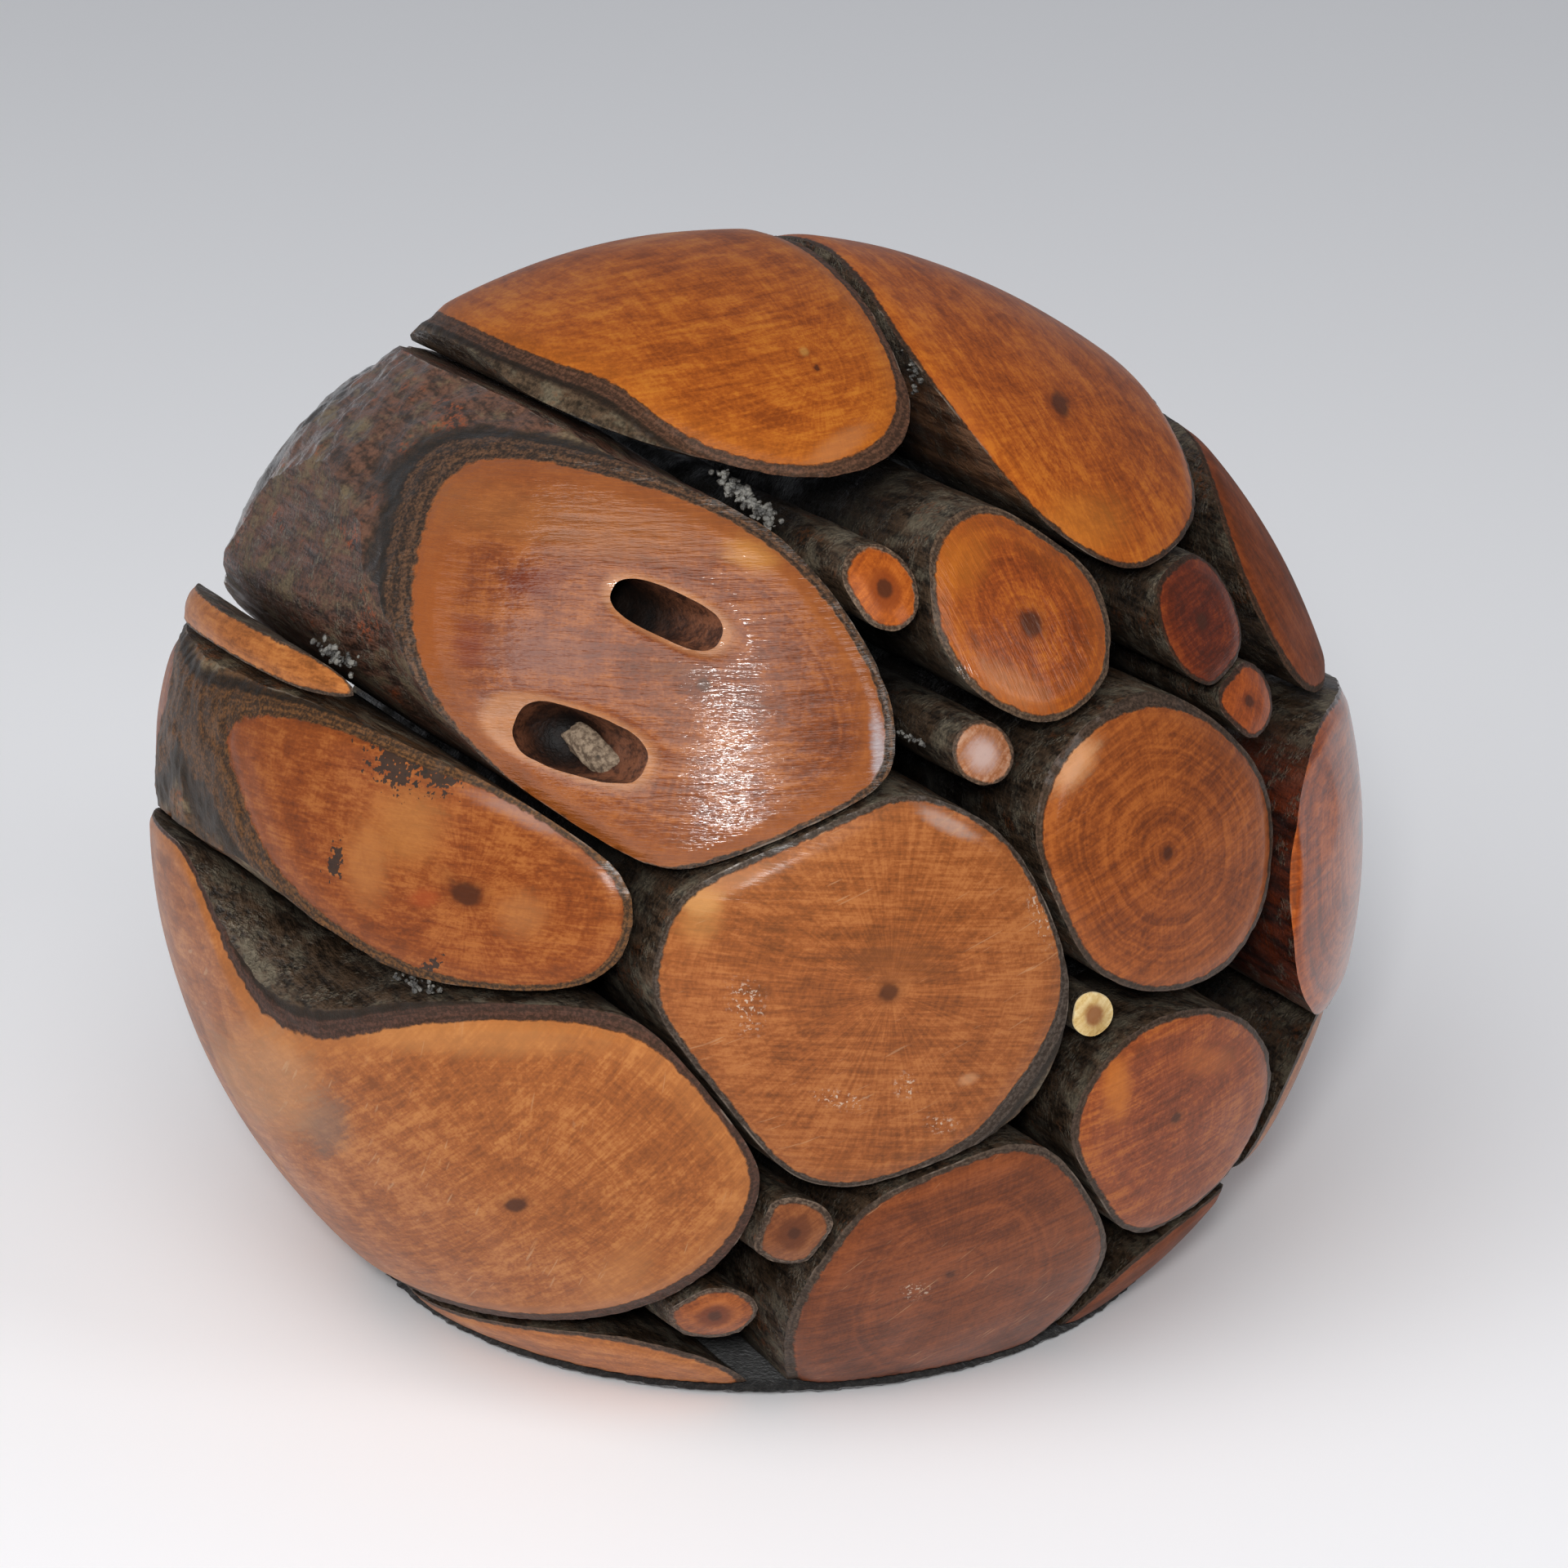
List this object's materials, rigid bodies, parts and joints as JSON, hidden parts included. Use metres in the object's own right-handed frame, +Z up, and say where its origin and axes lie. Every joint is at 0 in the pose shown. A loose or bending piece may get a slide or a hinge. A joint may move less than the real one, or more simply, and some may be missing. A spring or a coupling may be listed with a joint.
{
  "type": "wooden paperweight",
  "caption": "Ball of bark-covered branches and twigs glued side by side, turned round, varnished, and cut flat below on a felt pad.",
  "frame": {"origin": "middle of the underside of the felt pad, on the surface that the paperweight stands on", "axes": "+Z up, square to the pad; the side with the two beetle galleries faces -Y; the branches run towards -Y, turned 20 degrees towards +X and rising 10 degrees"},
  "size_m": [0.0869, 0.0852, 0.0738],
  "materials": {
    "golden_wood": "golden end grain under gloss varnish, dark bark on its sides",
    "brown_wood": "mid brown end grain under gloss varnish, dark bark on its sides",
    "red_wood": "red brown end grain under gloss varnish, dark bark on its sides",
    "peeled_wood": "pale bare twig, matt",
    "felt": "black wool felt, matt and slightly hairy"
  },
  "bodies": {
    "root": {"top_left_branch": "golden_wood", "top_right_branch": "golden_wood", "right_shoulder_branch": "red_wood", "galleried_branch": "red_wood", "left_branch": "golden_wood", "lower_left_branch": "brown_wood", "middle_branch": "brown_wood", "right_branch": "brown_wood", "upper_middle_branch": "golden_wood", "right_edge_branch": "red_wood", "lower_right_branch": "brown_wood", "bottom_branch": "brown_wood", "bottom_right_branch": "brown_wood", "right_low_edge_branch": "brown_wood", "bottom_left_branch": "brown_wood", "dark_twig": "red_wood", "dark_twig_neighbour": "red_wood", "upper_twig": "golden_wood", "pale_ringed_twig": "golden_wood", "peeled_twig": "peeled_wood", "lower_twig": "golden_wood", "bottom_twig": "golden_wood", "sliver_twig": "golden_wood", "felt_pad": "felt"}
  },
  "joints": []
}
